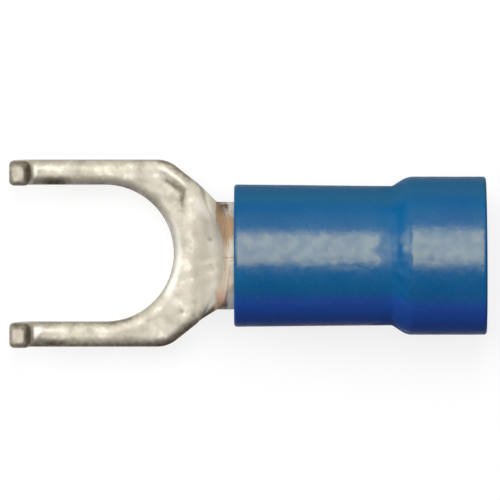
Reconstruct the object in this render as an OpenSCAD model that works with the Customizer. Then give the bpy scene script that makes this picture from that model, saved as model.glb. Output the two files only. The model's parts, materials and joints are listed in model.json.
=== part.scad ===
// Insulated fork terminal with turned-up lips: a formed sheet-metal fork with a rolled wire barrel,
// and a plastic sleeve pressed over the barrel.
// Millimetres. The origin is the stud's centre on the underside of the tongue.
// +X runs towards the wire entry, and +Z is the side that the lips turn up to.

/* [Tongue] */
// Clear width of the slot between the tines
slot_w = 5.4; // [4.3:0.1:6.5]
// Width of one tine
tine_w = 0.96; // [0.8:0.01:1.6]
// Stud centre to the outer faces of the lips
tine_reach = 3.74; // [3:0.02:6]
// Thickness of the sheet metal
sheet_t = 0.8; // [0.6:0.05:1]
// Flat metal between the bottom of the slot and the curl of the neck
web = 0.9; // [0.6:0.05:1.4]

/* [Lips] */
// Height of the lips above the tongue's upper face
lip_h = 0.8; // [0.5:0.1:1.5]
// Inside radius of the lip bends
lip_bend_r = 0.2; // [0.1:0.05:0.3]
// Corner radius at the top of each lip
lip_corner_r = 0.2; // [0.05:0.05:0.35]

/* [Shoulders and neck] */
// Length of the sloping shoulders, from the tines' outer edges to the barrel
shoulder_len = 1.96; // [1.7:0.02:2.6]
// Corner radius between tine and shoulder
shoulder_r = 1.2; // [0.3:0.1:1.6]
// Length over which the flat sheet curls up into the barrel
neck_len = 0.82; // [0.6:0.02:1]

/* [Barrel] */
// Bore of the wire barrel
barrel_id = 2.6; // [2:0.1:3]
// Length of the barrel behind the neck
barrel_len = 6.6; // [5:0.1:8]
// Lean of the barrel's front rim, in degrees
rim_rake = 10; // [0:1:30]
// Gap of the butted seam along the top of the barrel
seam_gap = 0.08; // [0.04:0.01:0.2]
// Number of grip grooves inside the barrel
groove_n = 3; // [1:1:4]
// Spacing of the grip grooves
groove_pitch = 1.2; // [0.9:0.1:1.4]
// Width of each grip groove
groove_w = 0.4; // [0.2:0.05:0.6]
// Depth of each grip groove
groove_depth = 0.12; // [0.05:0.01:0.2]
// Bevel inside the barrel's rear mouth
mouth_bevel = 0.25; // [0.1:0.05:0.35]

/* [Sleeve] */
// Length of the sleeve
sleeve_len = 9.88; // [9:0.02:12]
// Bare barrel between the neck and the sleeve
sleeve_setback = 0.64; // [0.3:0.02:1]
// Wall of the sleeve
sleeve_wall = 0.62; // [0.4:0.02:1]
// Radial growth of the sleeve from its waist to its front end
sleeve_flare = 0.06; // [0:0.01:0.12]
// Outside diameter of the wire entry
entry_d = 6.2; // [5.8:0.1:7]
// Length of the straight wire entry
entry_len = 2.85; // [2:0.05:4]
// Length of the step between waist and entry
step_len = 0.95; // [0.6:0.05:1.5]
// Edge radius of the sleeve's ends
sleeve_edge_r = 0.12; // [0.04:0.02:0.18]
// Radial clearance between barrel and sleeve
sleeve_fit = 0.01; // [0:0.01:0.03]

/* [Hidden] */
$fn = 96;
tin = "#d9d2c0";
blue = "#1a5f93";
// Overshoot of a cutter past the face that it cuts
over = 1;

slot_r = slot_w / 2;
fork_half = slot_r + tine_w;
lip_bend_x = -tine_reach + sheet_t + lip_bend_r;
curl_x = slot_r + web;

barrel_r = barrel_id / 2 + sheet_t;
mid_r = barrel_id / 2 + sheet_t / 2;
axis_z = barrel_r;
barrel_x = curl_x + neck_len;
barrel_end = barrel_x + barrel_len;

// Shoulders: straight from the tines' outer edges to the barrel's side, seen from above
shoulder_x = barrel_x - shoulder_len;
shoulder_slope = (fork_half - barrel_r) / shoulder_len;
shoulder_angle = atan(shoulder_slope);
neck_stations = 12;
neck_strips = 16;
// Overlap of neck and lips into the tongue, and of the neck into the barrel, and their inset there from its faces
lap = 0.1;
inset = 0.01;

sleeve_x = barrel_x + sleeve_setback;
sleeve_end = sleeve_x + sleeve_len;
entry_x = sleeve_end - entry_len;
waist_x = entry_x - step_len;
sleeve_bore_r = barrel_r + sleeve_fit;
waist_r = sleeve_bore_r + sleeve_wall;
front_r = waist_r + sleeve_flare;
entry_r = entry_d / 2;
entry_bore_r = entry_r - sleeve_wall;
step_points = 12;
edge_points = 5;

// Points of an arc about [cx, cy], as [radius, place along the axis] pairs
function arc(cx, cy, r, from, to, n) = [
    for (i = [0:n])
        let (a = from + (to - from) * i / n)
        [cx + r * cos(a), cy + r * sin(a)]
];

// S-shaped step between two radii, level at both ends
function s_step(r0, r1, x0, x1, n) = [
    for (i = [0:n])
        [r0 + (r1 - r0) * (1 - cos(180 * i / n)) / 2, x0 + (x1 - x0) * i / n]
];

// Lays what is drawn along +Z on the barrel's axis, along +X
module along_axis() {
    translate([0, 0, axis_z]) rotate([0, 90, 0]) children();
}

// Turns an X-Z profile upright and extrudes it along Y, from y0 over a width
module extrude_y(y0, width) {
    translate([0, y0 + width, 0]) rotate([90, 0, 0]) linear_extrude(width) children();
}

// Half width between the shoulders' straight edges at x, seen from above
function shoulder_y(x) = fork_half - shoulder_slope * (x - shoulder_x);

// Flat tongue: tines, rounded shoulders and the web behind the slot
module tongue() {
    corner_len = shoulder_r * tan(shoulder_angle / 2);
    corner_x = shoulder_x - corner_len;
    slope_x = shoulder_x + corner_len * cos(shoulder_angle);
    slope_y = fork_half - corner_len * sin(shoulder_angle);
    linear_extrude(sheet_t) difference() {
        union() {
            polygon([
                [lip_bend_x, -fork_half], [corner_x, -fork_half], [slope_x, -slope_y],
                [curl_x, -shoulder_y(curl_x)], [curl_x, shoulder_y(curl_x)],
                [slope_x, slope_y], [corner_x, fork_half], [lip_bend_x, fork_half]
            ]);
            for (side = [-1, 1]) translate([corner_x, side * (fork_half - shoulder_r)]) circle(shoulder_r);
        }
        circle(slot_r);
        translate([-tine_reach - over, -slot_r]) square([tine_reach + over, slot_w]);
    }
}

// Lip at the end of one tine: a quarter bend rooted in the tongue, and an upright with rounded top corners
module lip() {
    bend_z = sheet_t + lip_bend_r;
    upright_h = lip_h - lip_bend_r;
    extrude_y(slot_r, tine_w) translate([lip_bend_x, bend_z]) intersection() {
        difference() {
            circle(lip_bend_r + sheet_t);
            circle(lip_bend_r);
        }
        translate([-sheet_t - lip_bend_r, -sheet_t - lip_bend_r]) square(sheet_t + lip_bend_r);
    }
    translate([lip_bend_x - lap, slot_r + inset, inset])
        cube([2 * lap, tine_w - 2 * inset, sheet_t - 2 * inset]);
    translate([-tine_reach, slot_r, bend_z]) rotate([90, 0, 90]) linear_extrude(sheet_t) {
        square([tine_w, upright_h - lip_corner_r]);
        translate([lip_corner_r, 0]) square([tine_w - 2 * lip_corner_r, upright_h]);
        for (y = [lip_corner_r, tine_w - lip_corner_r])
            translate([y, upright_h - lip_corner_r]) circle(lip_corner_r);
    }
}

// Share of the full curl reached at a share t of the neck's length
function curl_share(t) = t * t * (3 - 2 * t);

// Half width across the blank that puts the curled sheet's side at y, seen from above
function blank_half(curl, y) = curl < 1e-6
    ? y
    : asin(min(1, y / (1 / curl + sheet_t / 2))) * PI / 180 / curl;

// Point of the curled sheet: s across the blank, n above its middle surface
function curled(curl, s, n) = curl < 1e-6
    ? [s, sheet_t / 2 + n]
    : let (a = s * curl * 180 / PI)
      [(1 / curl - n) * sin(a), sheet_t / 2 + 1 / curl - (1 / curl - n) * cos(a)];

// Cross-section of the neck at a share t of its length, drawn at x and inset by a depth, as a closed loop
function neck_section(t, x, depth) =
    let (
        curl = curl_share(t) / mid_r,
        half = blank_half(curl, shoulder_y(curl_x + t * neck_len)) - depth,
        face = sheet_t / 2 - depth,
        across = [for (j = [0:neck_strips]) half * (2 * j / neck_strips - 1)],
        under = [for (s = across) curled(curl, s, -face)],
        upper = [for (j = [neck_strips:-1:0]) curled(curl, across[j], face)]
    )
    [for (p = concat(under, upper)) [x, p[0], p[1]]];

// Neck: the sheet curls up from the flat tongue into the lower half of the barrel
module neck() {
    ring = 2 * (neck_strips + 1);
    points = concat(
        neck_section(0, curl_x - lap, inset),
        [
            for (i = [0:neck_stations])
                let (t = i / neck_stations)
                each neck_section(t, curl_x + neck_len * t, inset * t)
        ],
        neck_section(1, barrel_x + lap, inset)
    );
    sides = [
        for (i = [0:neck_stations + 1], j = [0:ring - 1])
            let (a = i * ring + j, b = i * ring + (j + 1) % ring)
            each [[a, b + ring, b], [a, a + ring, b + ring]]
    ];
    last = (neck_stations + 2) * ring;
    ends = [
        for (j = [0:neck_strips - 1])
            let (b = ring - 1 - j)
            each [[j, j + 1, b - 1, b], [last + j, last + b, last + b - 1, last + j + 1]]
    ];
    polyhedron(points, concat(sides, ends), convexity = 6);
}

// Rolled wire barrel: bore, grip grooves, raked front rim, bevelled mouth and butted seam
module barrel() {
    first_groove = barrel_x + (barrel_len - (groove_n - 1) * groove_pitch - groove_w) / 2;
    difference() {
        along_axis() translate([0, 0, barrel_x]) cylinder(r = barrel_r, h = barrel_len);
        along_axis() {
            translate([0, 0, barrel_x - over]) cylinder(d = barrel_id, h = barrel_len + 2 * over);
            for (i = [0:groove_n - 1])
                translate([0, 0, first_groove + i * groove_pitch])
                    cylinder(r = barrel_id / 2 + groove_depth, h = groove_w);
            translate([0, 0, barrel_end - mouth_bevel])
                cylinder(r1 = barrel_id / 2, r2 = barrel_id / 2 + mouth_bevel, h = mouth_bevel);
        }
        extrude_y(-barrel_r - over, 2 * (barrel_r + over)) polygon([
            [barrel_x - over, axis_z], [barrel_x, axis_z],
            [barrel_x + (barrel_r + over) * tan(rim_rake), axis_z + barrel_r + over],
            [barrel_x - over, axis_z + barrel_r + over]
        ]);
        translate([barrel_x - over, -seam_gap / 2, axis_z]) cube([barrel_len + 2 * over, seam_gap, barrel_r + over]);
    }
}

// The whole metal part, one stamping formed from sheet
module fork_terminal() {
    color(tin) union() {
        tongue();
        lip();
        mirror([0, 1, 0]) lip();
        neck();
        barrel();
    }
}

// Insulating sleeve: a tube that widens at the wire entry
module insulating_sleeve() {
    r = sleeve_edge_r;
    outer = concat(
        arc(front_r - r, sleeve_x + r, r, -90, 0, edge_points),
        s_step(waist_r, entry_r, waist_x, entry_x, step_points),
        arc(entry_r - r, sleeve_end - r, r, 0, 90, edge_points)
    );
    inner = concat(
        arc(entry_bore_r + r, sleeve_end - r, r, 90, 180, edge_points),
        s_step(entry_bore_r, sleeve_bore_r, entry_x, waist_x, step_points),
        [[sleeve_bore_r, sleeve_x]]
    );
    color(blue) along_axis() rotate_extrude() polygon(concat(outer, inner));
}

fork_terminal();
insulating_sleeve();
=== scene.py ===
"""Looks of an insulated fork terminal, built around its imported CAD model. Sizes are in millimetres."""
import json
import math

import bpy
import numpy as np
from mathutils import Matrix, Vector, noise


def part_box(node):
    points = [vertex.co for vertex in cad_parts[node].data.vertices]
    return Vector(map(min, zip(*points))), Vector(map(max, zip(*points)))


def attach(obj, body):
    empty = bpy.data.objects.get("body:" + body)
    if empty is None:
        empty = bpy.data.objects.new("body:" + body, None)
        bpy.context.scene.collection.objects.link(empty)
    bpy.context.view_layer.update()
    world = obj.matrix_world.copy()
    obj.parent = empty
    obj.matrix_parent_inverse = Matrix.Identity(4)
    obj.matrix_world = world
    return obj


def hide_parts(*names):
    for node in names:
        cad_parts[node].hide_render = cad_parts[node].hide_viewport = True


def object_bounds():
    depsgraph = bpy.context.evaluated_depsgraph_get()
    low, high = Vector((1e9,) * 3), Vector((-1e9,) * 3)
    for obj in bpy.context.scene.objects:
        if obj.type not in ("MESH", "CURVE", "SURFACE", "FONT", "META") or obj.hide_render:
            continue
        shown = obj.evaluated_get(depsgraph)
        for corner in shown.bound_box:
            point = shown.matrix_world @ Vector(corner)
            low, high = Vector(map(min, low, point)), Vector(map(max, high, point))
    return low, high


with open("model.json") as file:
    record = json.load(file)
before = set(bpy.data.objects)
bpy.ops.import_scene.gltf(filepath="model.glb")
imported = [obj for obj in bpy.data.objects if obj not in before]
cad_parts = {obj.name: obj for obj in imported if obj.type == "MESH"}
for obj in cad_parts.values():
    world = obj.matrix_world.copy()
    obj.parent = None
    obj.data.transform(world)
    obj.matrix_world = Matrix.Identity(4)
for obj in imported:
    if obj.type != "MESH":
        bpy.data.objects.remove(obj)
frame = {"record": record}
cad_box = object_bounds()

# Sizes

MM = 0.001
TINY = 1e-9
mounts = {m["name"]: m for m in frame["record"]["mounts"]}
metal_low, metal_high = (np.array(c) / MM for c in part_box("fork_terminal"))
sleeve_low, sleeve_high = (np.array(c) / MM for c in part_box("insulating_sleeve"))

SHEET = mounts["stud_slot"]["dims"]["length_mm"]
SLOT_R = mounts["stud_slot"]["dims"]["r_mm"]
BORE_R = mounts["wire_barrel"]["dims"]["r_mm"]
AXIS_Z = mounts["wire_barrel"]["pos_m"][2] / MM
FORK_HALF = metal_high[1]
TINE_MID = (SLOT_R + FORK_HALF) / 2
TINE_HALF = (FORK_HALF - SLOT_R) / 2
REACH = -metal_low[0]
BARREL_END = metal_high[0]
MID_R = BORE_R + SHEET / 2

# Lips at the tines' ends
LIP_H = 0.8
LIP_BEND_R = 0.2
LIP_MID_R = LIP_BEND_R + SHEET / 2
LIP_BEND_X = LIP_MID_R + SHEET / 2 - REACH
LIP_TIP = LIP_BEND_X - LIP_MID_R * math.pi / 2 - (LIP_H + SHEET / 2 - LIP_MID_R)
LIP_ROUND = 0.2

# Shoulders, neck and barrel
WEB = 0.9
CURL_X = SLOT_R + WEB
NECK_LEN = 0.82
BARREL_X = CURL_X + NECK_LEN
BARREL_R = BORE_R + SHEET
HALF_TUBE = MID_R * math.pi / 2
SHOULDER_LEN = 1.96
SHOULDER_X = BARREL_X - SHOULDER_LEN
SHOULDER_SLOPE = (FORK_HALF - BARREL_R) / SHOULDER_LEN
SHOULDER_R = 1.2
RIM_LEAD = 0.06
RIM_X = BARREL_X - RIM_LEAD
RIM_SLOPE = 0.22
# Lengths over which the rim's lean comes in up the barrel's side, and goes out along the barrel
RIM_CLIMB = 0.4
RIM_FADE = 0.8
SEAM_HALF = 0.002
GROOVES = (6.32, 7.52, 8.72)
GROOVE_W = 0.4
GROOVE_DEPTH = 0.12
GROOVE_WALL = 0.04

# Sleeve
SLEEVE_X = sleeve_low[0]
SLEEVE_END = sleeve_high[0]
ENTRY_R = (sleeve_high[2] - sleeve_low[2]) / 2
ENTRY_LEN = 2.85
STEP_LEN = 0.95
STEP_EASE = 1.2
FLARE = 0.06
WALL = 0.62
BARREL_CLEAR = 0.01
SLEEVE_BORE = BARREL_R + BARREL_CLEAR
WAIST_R = SLEEVE_BORE + WALL
FRONT_R = WAIST_R + FLARE
ENTRY_BORE = ENTRY_R - WALL
ENTRY_X = SLEEVE_END - ENTRY_LEN
WAIST_X = ENTRY_X - STEP_LEN
SLEEVE_EDGE = 0.12

# Edges of the stamping
EDGE_IN = 0.05
ROLL_R = 0.6
ROLL_ANGLE = 46
ROLL_WIDTH = ROLL_R * math.sin(math.radians(ROLL_ANGLE))
CORNER_R = 0.025
UNDER_R = 0.03


# Helpers

def smooth(t):
    """Smooth step from 0 to 1."""
    t = np.clip(t, 0, 1)
    return t * t * (3 - 2 * t)


def rise(t, start, span):
    """0 up to the start, then rising to 1 over the span."""
    return smooth((t - start) / span)


def fall(t, start, span):
    """1 up to the start, then falling to 0 over the span."""
    return 1 - rise(t, start, span)


def window(t, start, rising, end, falling):
    """Rises over one span from the start, and falls over another from the end."""
    return rise(t, start, rising) * fall(t, end, falling)


def bell(t, centre, width):
    """1 at the centre, fading on both sides."""
    return np.exp(-(((t - centre) / width) ** 2))


def lerp(a, b, t):
    """Value at share t of the way from a to b."""
    return a + (b - a) * t


# Shift of the noise for each step of the seed
SEED_SHIFT = (7.3, 3.1, 5.7)


def ripple(points, size, seed):
    """Smooth noise in about -1 to 1 at each row of points, with bumps of the given size."""
    shift = Vector([seed * s for s in SEED_SHIFT])
    return np.array([noise.noise(Vector(p) / size + shift) for p in points])


def new_piece(name, vertices, faces, attributes=()):
    """Smooth-shaded mesh piece from millimetre vertices; doubled vertices are merged by the caller."""
    mesh = bpy.data.meshes.new(name)
    mesh.from_pydata((np.asarray(vertices) * MM).tolist(), [], faces)
    for key, values in attributes:
        layer = mesh.attributes.new(key, "FLOAT", "POINT")
        layer.data.foreach_set("value", np.asarray(values, dtype=np.float32))
    mesh.polygons.foreach_set("use_smooth", [True] * len(mesh.polygons))
    mesh.validate()
    mesh.update()
    piece = bpy.data.objects.new(name, mesh)
    bpy.context.scene.collection.objects.link(piece)
    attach(piece, "root")
    return piece


# The flat blank of the stamping, half of it: p runs along it, and q across it from its middle line

def curl_at(p):
    """Curvature of the sheet across the neck and barrel."""
    return np.maximum(rise(p, CURL_X, NECK_LEN) / MID_R, TINY)


def rim_p(q):
    """Front edge of the barrel in the blank, where the rim leans back as it climbs."""
    return RIM_X - RIM_SLOPE * MID_R * np.cos(q / MID_R)


def blank_half(p):
    """Half width of the neck's blank that leaves the shoulders straight, seen from above."""
    side = FORK_HALF - SHOULDER_SLOPE * (p - SHOULDER_X)
    curl = curl_at(p)
    return np.arcsin(np.minimum(1, side / (1 / curl + SHEET / 2))) / curl


def lip_share(p):
    """0 on the tine, 1 near the lip's end."""
    return smooth((LIP_BEND_X - p) / (LIP_BEND_X - LIP_TIP - LIP_ROUND))


def form(p, q, n):
    """Place of blank point (p along, q across), n above the sheet's middle, after all bends."""
    p, q, n = np.broadcast_arrays(*(np.asarray(v, dtype=float) for v in (p, q, n)))
    bend = np.clip((LIP_BEND_X - p) / LIP_MID_R, 0, math.pi / 2)
    upright = np.maximum(LIP_BEND_X - p - LIP_MID_R * math.pi / 2, 0)
    in_lip = p < LIP_BEND_X
    x = np.where(in_lip, LIP_BEND_X - (LIP_MID_R - n) * np.sin(bend), p)
    z = np.where(in_lip, SHEET / 2 + LIP_MID_R - (LIP_MID_R - n) * np.cos(bend) + upright, SHEET / 2 + n)
    curl = curl_at(p)
    a = curl * q
    curled = p > CURL_X
    y = np.where(curled, (1 / curl - n) * np.sin(a), q)
    z = np.where(curled, SHEET / 2 + (1 - np.cos(a)) / curl + n * np.cos(a), z)
    above = rise(np.abs(q), HALF_TUBE, RIM_CLIMB)
    close = fall(p, rim_p(np.maximum(np.abs(q), HALF_TUBE)), RIM_FADE)
    x = x + np.where(curled, RIM_SLOPE * n * np.cos(q / MID_R) * above * close, 0)
    return np.stack([x, y, z], axis=-1)


STRAIGHT_POINTS = 60
CORNER_POINTS = 40


def shoulder_curve():
    """Dense inset outline from the tine's straight edge to the start of the curl: p, q, out p, out q."""
    d = EDGE_IN
    angle = math.atan(SHOULDER_SLOPE)
    corner = SHOULDER_X - SHOULDER_R * math.tan(angle / 2)
    centre_q = FORK_HALF - SHOULDER_R
    points = [(p, FORK_HALF - d, 0, 1) for p in np.linspace(0, corner, STRAIGHT_POINTS, endpoint=False)]
    for a in np.linspace(0, angle, CORNER_POINTS):
        s, c = math.sin(a), math.cos(a)
        points.append((corner + (SHOULDER_R - d) * s, centre_q + (SHOULDER_R - d) * c, s, c))
    s, c = math.sin(angle), math.cos(angle)
    start_p, start_q = points[-1][:2]
    for p in np.linspace(start_p, CURL_X, STRAIGHT_POINTS)[1:]:
        points.append((p, start_q - (p - start_p) * SHOULDER_SLOPE, s, c))
    return np.array(points)


def resample(rows, count):
    """Rows spread evenly along the path of their first two columns."""
    length = np.concatenate([[0], np.cumsum(np.linalg.norm(np.diff(rows[:, :2], axis=0), axis=1))])
    even = np.linspace(0, length[-1], count)
    return np.stack([np.interp(even, length, column) for column in rows.T], axis=-1)


# Neck's edge line: share of the neck that it follows, start of the rim above half the tube,
# share of the neck where it is split, points, and rounds of smoothing
NECK_FOLLOWED = 0.845
RIM_START = 0.1
RIM_SPLIT = 0.7
NECK_POINTS = 120
RIM_POINTS = 160
LINE_POINTS = 400
LINE_ROUNDS = 60


def neck_line():
    """Dense inset edge of the neck and on up the rim to the seam, in two parts: p, q, out p, out q."""
    neck_p = CURL_X + NECK_LEN * np.linspace(0, NECK_FOLLOWED, NECK_POINTS)
    rim_q = np.linspace(HALF_TUBE + RIM_START, math.pi * MID_R - SEAM_HALF, RIM_POINTS)
    line = resample(np.concatenate([
        np.stack([neck_p, blank_half(neck_p)], axis=-1),
        np.stack([rim_p(rim_q), rim_q], axis=-1),
    ]), LINE_POINTS)
    for _ in range(LINE_ROUNDS):
        line[1:-1] = (line[:-2] + 2 * line[1:-1] + line[2:]) / 4
    run = np.gradient(line, axis=0)
    run /= np.linalg.norm(run, axis=1)[:, None]
    out = np.stack([-run[:, 1], run[:, 0]], axis=-1)
    inner = np.concatenate([line - EDGE_IN * out, out], axis=1)
    split = int(np.argmax(line[:, 0] > CURL_X + RIM_SPLIT * NECK_LEN))
    return inner[: split + 1], inner[split:]


# Rows along the barrel: end and count of the close rows at the rim, rows before the grooves,
# rows about a groove's wall, row past each groove, start past the last groove,
# and the wide and close rows before the rear end
RIM_ROWS_END = 5.3
N_RIM = 16
FRONT_ROWS = [5.55, 5.85]
WALL_ROWS = (-0.02, 0, 0.02, 0.06)
PAST_GROOVE = 0.8
PAST_LAST = 1.1
REAR_WIDE = 0.5
REAR_CLOSE = 0.4
N_WIDE = 4
N_CLOSE = 8


def barrel_stops(front, rear):
    """Places along the barrel as shares of its length, closer at the rim and at the grip grooves' walls."""
    stops = list(np.linspace(front, RIM_ROWS_END, N_RIM)) + FRONT_ROWS
    for x in GROOVES:
        stops += [x + w for w in WALL_ROWS] + [x + GROOVE_W / 2]
        stops += [x + GROOVE_W - w for w in reversed(WALL_ROWS)] + [x + PAST_GROOVE]
    stops += list(np.linspace(GROOVES[-1] + PAST_LAST, rear - REAR_WIDE, N_WIDE))
    stops += list(np.linspace(rear - REAR_CLOSE, rear, N_CLOSE))
    return (np.array(stops) - front) / (rear - front)


# Rows of the grids: along the tine, across it, round the shoulder, across half the neck, along it, up the rim
N_TINE = 116
N_ACROSS = 34
N_TURN = 84
N_HALF = 60
N_NECK = 28
N_UPPER = 46
# Crowding of the rows towards a tine's edges, in degrees, and length over which the rim's rows even out
CROWDING = 78
EVEN_OUT = 1.6
# Roll of the edges at the rim's foot and at the barrel's rear end, and bare metal at that end
RIM_ROLL = 0.15
REAR_ROLL = 0.6
REAR_CUT = 0.5
# Rows of the rim over which the roll goes, first row and rows over which the bare cut comes in,
# haste of the neck's roll, and steps of stations round a corner
ROLL_ROWS = 6
CUT_FROM = 2
CUT_ROWS = 7
NECK_HASTE = 1.2
FAN_STEPS = 7


def blank_blocks():
    """Grids of (p, q) that tile half of the inset blank, and the stations round its boundary.

    A station is p, q, out p, out q, inset, roll share, lip share, cut share.
    It lies its inset inside the real edge.
    """
    d = EDGE_IN
    spread = np.sin(np.linspace(-1, 1, N_ACROSS + 1) * math.radians(CROWDING))
    share = (spread / spread[-1] + 1) / 2
    tine = np.linspace(LIP_TIP + LIP_ROUND, 0, N_TINE + 1)
    lip = lip_share(tine)
    inset = lerp(d, LIP_ROUND, lip)
    across = lerp((SLOT_R + inset)[:, None], (FORK_HALF - inset)[:, None], share[None, :])
    grid_a = np.stack([np.broadcast_to(tine[:, None], across.shape), across], axis=-1)

    dense = shoulder_curve()
    dense_angle = np.arctan2(dense[:, 1], dense[:, 0])
    dense_size = np.hypot(dense[:, 0], dense[:, 1])
    turn = np.linspace(math.pi / 2, dense_angle[-1], N_TURN + 1)
    half = np.arctan2(np.linspace(dense[-1, 1], 0, N_HALF + 1), CURL_X)
    angles = np.concatenate([turn, half[1:]])
    outer = np.where(
        angles >= dense_angle[-1] - TINY,
        np.interp(-angles, -dense_angle, dense_size),
        CURL_X / np.cos(angles),
    )
    size = lerp(SLOT_R + d, outer[:, None], share[None, :])
    grid_b = np.stack([size * np.cos(angles)[:, None], size * np.sin(angles)[:, None]], axis=-1)

    neck_edge, rim_edge = neck_line()
    neck_edge = resample(neck_edge, N_NECK + 1)
    neck_edge[0, :2] = dense[-1, :2]
    rim_edge = resample(rim_edge, N_UPPER + 1)
    rim_edge[-1, 1] -= d
    rim_edge[-1, 0] = np.interp(rim_edge[-1, 1], rim_edge[:-1, 1], rim_edge[:-1, 0])
    corner_p, corner_q = neck_edge[-1, :2]
    level = np.linspace(0, 1, N_HALF + 1)
    foot = np.stack([np.linspace(CURL_X, corner_p, N_NECK + 1), np.zeros(N_NECK + 1)], axis=-1)
    grid_c = lerp(foot[:, None, :], neck_edge[:, None, :2], level[None, :, None])

    rear = BARREL_END - d
    stops = lerp(corner_p, rear, barrel_stops(corner_p, rear))
    grid_d = np.stack(np.meshgrid(stops, level * corner_q, indexing="ij"), axis=-1)
    rear_q = np.linspace(corner_q, rim_edge[-1, 1], N_UPPER + 1)
    even = rise(stops, corner_p, EVEN_OUT)[:, None]
    lag = (rim_edge[None, :, 0] - corner_p) * (1 - even)
    level_q = lerp(rim_edge[None, :, 1], rear_q[None, :], even)
    grid_e = np.stack([stops[:, None] + lag, level_q], axis=-1)

    rows = []

    def add(p, q, bp, bq, inset, roll, lip=0.0, cut=0.0):
        size = math.hypot(bp, bq)
        rows.append((p, q, bp / size, bq / size, inset, roll, lip, cut))

    def fan(p, q, a0, a1, inset, roll, lip=0.0, cut=0.0):
        for a in np.radians(np.linspace(a0, a1, FAN_STEPS + 1)):
            add(p, q, math.cos(a), math.sin(a), inset, roll, lip, cut)

    for t in reversed(angles):
        add((SLOT_R + d) * math.cos(t), (SLOT_R + d) * math.sin(t), -math.cos(t), -math.sin(t), d, 1)
    for i in range(N_TINE - 1, 0, -1):
        add(tine[i], across[i, 0], 0, -1, inset[i], 1 - lip[i], lip[i])
    fan(tine[0], across[0, 0], -90, -180, LIP_ROUND, 0, 1)
    for q in across[0, 1:-1]:
        add(tine[0], q, -1, 0, LIP_ROUND, 0, 1)
    fan(tine[0], across[0, -1], 180, 90, LIP_ROUND, 0, 1)
    for i in range(1, N_TINE):
        add(tine[i], across[i, -1], 0, 1, inset[i], 1 - lip[i], lip[i])
    for k in range(N_TURN + 1):
        way = [np.interp(-turn[k], -dense_angle, dense[:, i]) for i in (2, 3)]
        add(*grid_b[k, -1], *way, d, 1)
    for k in range(1, N_NECK + 1):
        add(*neck_edge[k], d, lerp(1, RIM_ROLL, smooth(NECK_HASTE * k / N_NECK)))
    for k in range(1, N_UPPER):
        add(*rim_edge[k], d, RIM_ROLL * (1 - smooth(k / ROLL_ROWS)), 0, rise(k, CUT_FROM, CUT_ROWS))
    fan(*rim_edge[-1, :2], math.degrees(math.atan2(rim_edge[-1, 3], rim_edge[-1, 2])), 90, d, 0, 0, 1)
    for p in grid_e[1:-1, -1, 0]:
        add(p, rim_edge[-1, 1], 0, 1, d, 0, 0, 1)
    fan(rear, rim_edge[-1, 1], 90, 0, d, REAR_ROLL, 0, REAR_CUT)
    for q in np.concatenate([rear_q[::-1][1:], corner_q * level[::-1][1:]]):
        add(rear, q, 1, 0, d, REAR_ROLL, 0, REAR_CUT)
    return [grid_a, grid_b, grid_c, grid_d, grid_e], np.array(rows)


# Columns of a station that the marks use
OUT_Q = 3
INSET = 4
ROLL = 5

# Relief and marks of the sheet's faces, in blank places with q signed.
# Painted shade with dark blotches, painted light and bareness are shares.
# Pressed line inside the upper shoulder
CREASE = np.array([
    (2.18, 3.03), (2.39, 2.89), (2.67, 2.71), (2.86, 2.57), (3.06, 2.44), (3.04, 2.12), (3.04, 1.89),
    (3.06, 1.26), (3.05, 0.4),
])
CREASE_STRENGTH = (0.3, 0.8, 1.0, 1.0, 1.0, 0.95, 0.65, 0.3, 0.1)
CREASE_WIDTH = 0.14
CREASE_DEPTH = 0.028
# Painted shade in the pressed line
CREASE_PAINTED_SHADE = 0.68
# Dents and blotches: place p, q, size, depth, stain
DENTS = (
    (4.12, 0.68, 0.14, 0.02, 0.46), (3.02, -2.30, 0.12, 0.025, 0.40), (3.53, -1.95, 0.12, 0.015, 0.32),
    (3.49, -2.46, 0.12, 0.02, 0.35), (1.76, -2.22, 0.16, 0.008, 0.22), (1.69, -2.62, 0.20, 0.008, 0.20),
    (2.20, -1.70, 0.15, 0.008, 0.18), (2.45, 2.05, 0.25, 0.005, 0.16), (3.1, 0.9, 0.3, 0.004, 0.12),
    (4.14, -0.62, 0.32, 0.0, 0.40), (3.80, -0.26, 0.09, 0.012, 0.28), (4.05, -0.72, 0.14, 0.008, 0.26),
    (3.65, -0.80, 0.14, 0.006, 0.22),
)
# Places of painted light on the plate: place p, q, size, strength
BANKS = ((3.92, 1.95, 0.46, 0.85), (2.78, -1.88, 0.36, 0.45))
# Unevenness of the sheet: height, size, seed; and its least share, start and span inside an edge
SHEET_WAVES = ((0.006, 0.8, 1), (0.003, 0.35, 2))
CALM_LEAST = 0.3
CALM_SPAN = (0.05, 0.2)

# Stretches along p: start, span of the rise, end, span of the fall
LEAN_ZONE = (1.3, 0.5, 3.9, 0.4)
RIDGE_ZONE = (1.9, 0.5, 3.0, 0.5)
BEVEL_ZONE = (1.8, 0.4, 3.3, 0.35)
BODY_ZONE = (1.1, 0.8, 3.3, 0.5)
MOUTH_ZONE = (3.75, 0.5, 4.9, 0.3)
LOW_WALL_ZONE = (3.2, 0.9, 4.9, 0.3)
DULL_ZONE = (3.2, 0.6, 6.0, 0.6)
UNDER_DULL_ZONE = (4.3, 0.3, 6.0, 0.6)

# Upper shoulder: share of roll that its edge loses, least facing of that edge, least q of a shoulder;
# and the low ridge inside it: place inside the edge, width, height, painted highlight on it
LEAN_SHARE = 0.5
LEAN_FACING = 0.3
SHOULDER_Q = 1.2
RIDGE_IN = 0.31
RIDGE_WIDTH = 0.13
RIDGE_HEIGHT = 0.03
RIDGE_PAINTED_LIGHT = 0.55
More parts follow.
